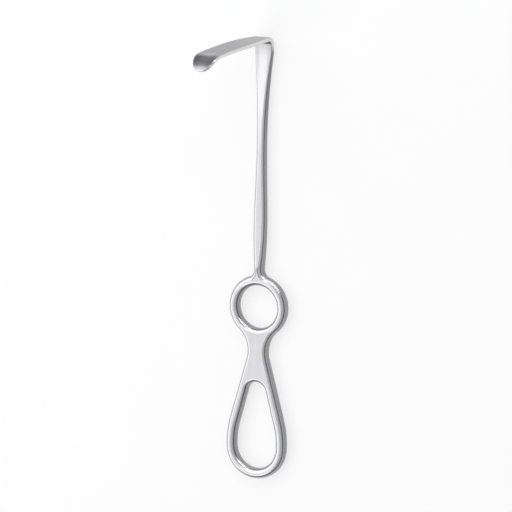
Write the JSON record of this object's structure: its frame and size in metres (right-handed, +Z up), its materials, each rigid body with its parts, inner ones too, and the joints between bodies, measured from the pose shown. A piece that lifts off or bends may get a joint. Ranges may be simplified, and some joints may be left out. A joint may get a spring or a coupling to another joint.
{
  "type": "handheld surgical retractor",
  "caption": "One-piece steel retractor with a finger ring and finger loop handle, tapering shaft, right-angled blade and turned-down lip for holding tissue aside.",
  "frame": {"origin": "on the surface it lies on, under the middle of its length and on its middle line", "axes": "+X across the handle, +Y from the finger loop along the shaft to the heel of the bend, +Z up along the blade; it lies on its back"},
  "size_m": [0.0322, 0.22, 0.0698],
  "materials": {
    "steel": "satin"
  },
  "bodies": {
    "root": {"retractor": "steel"}
  },
  "joints": []
}
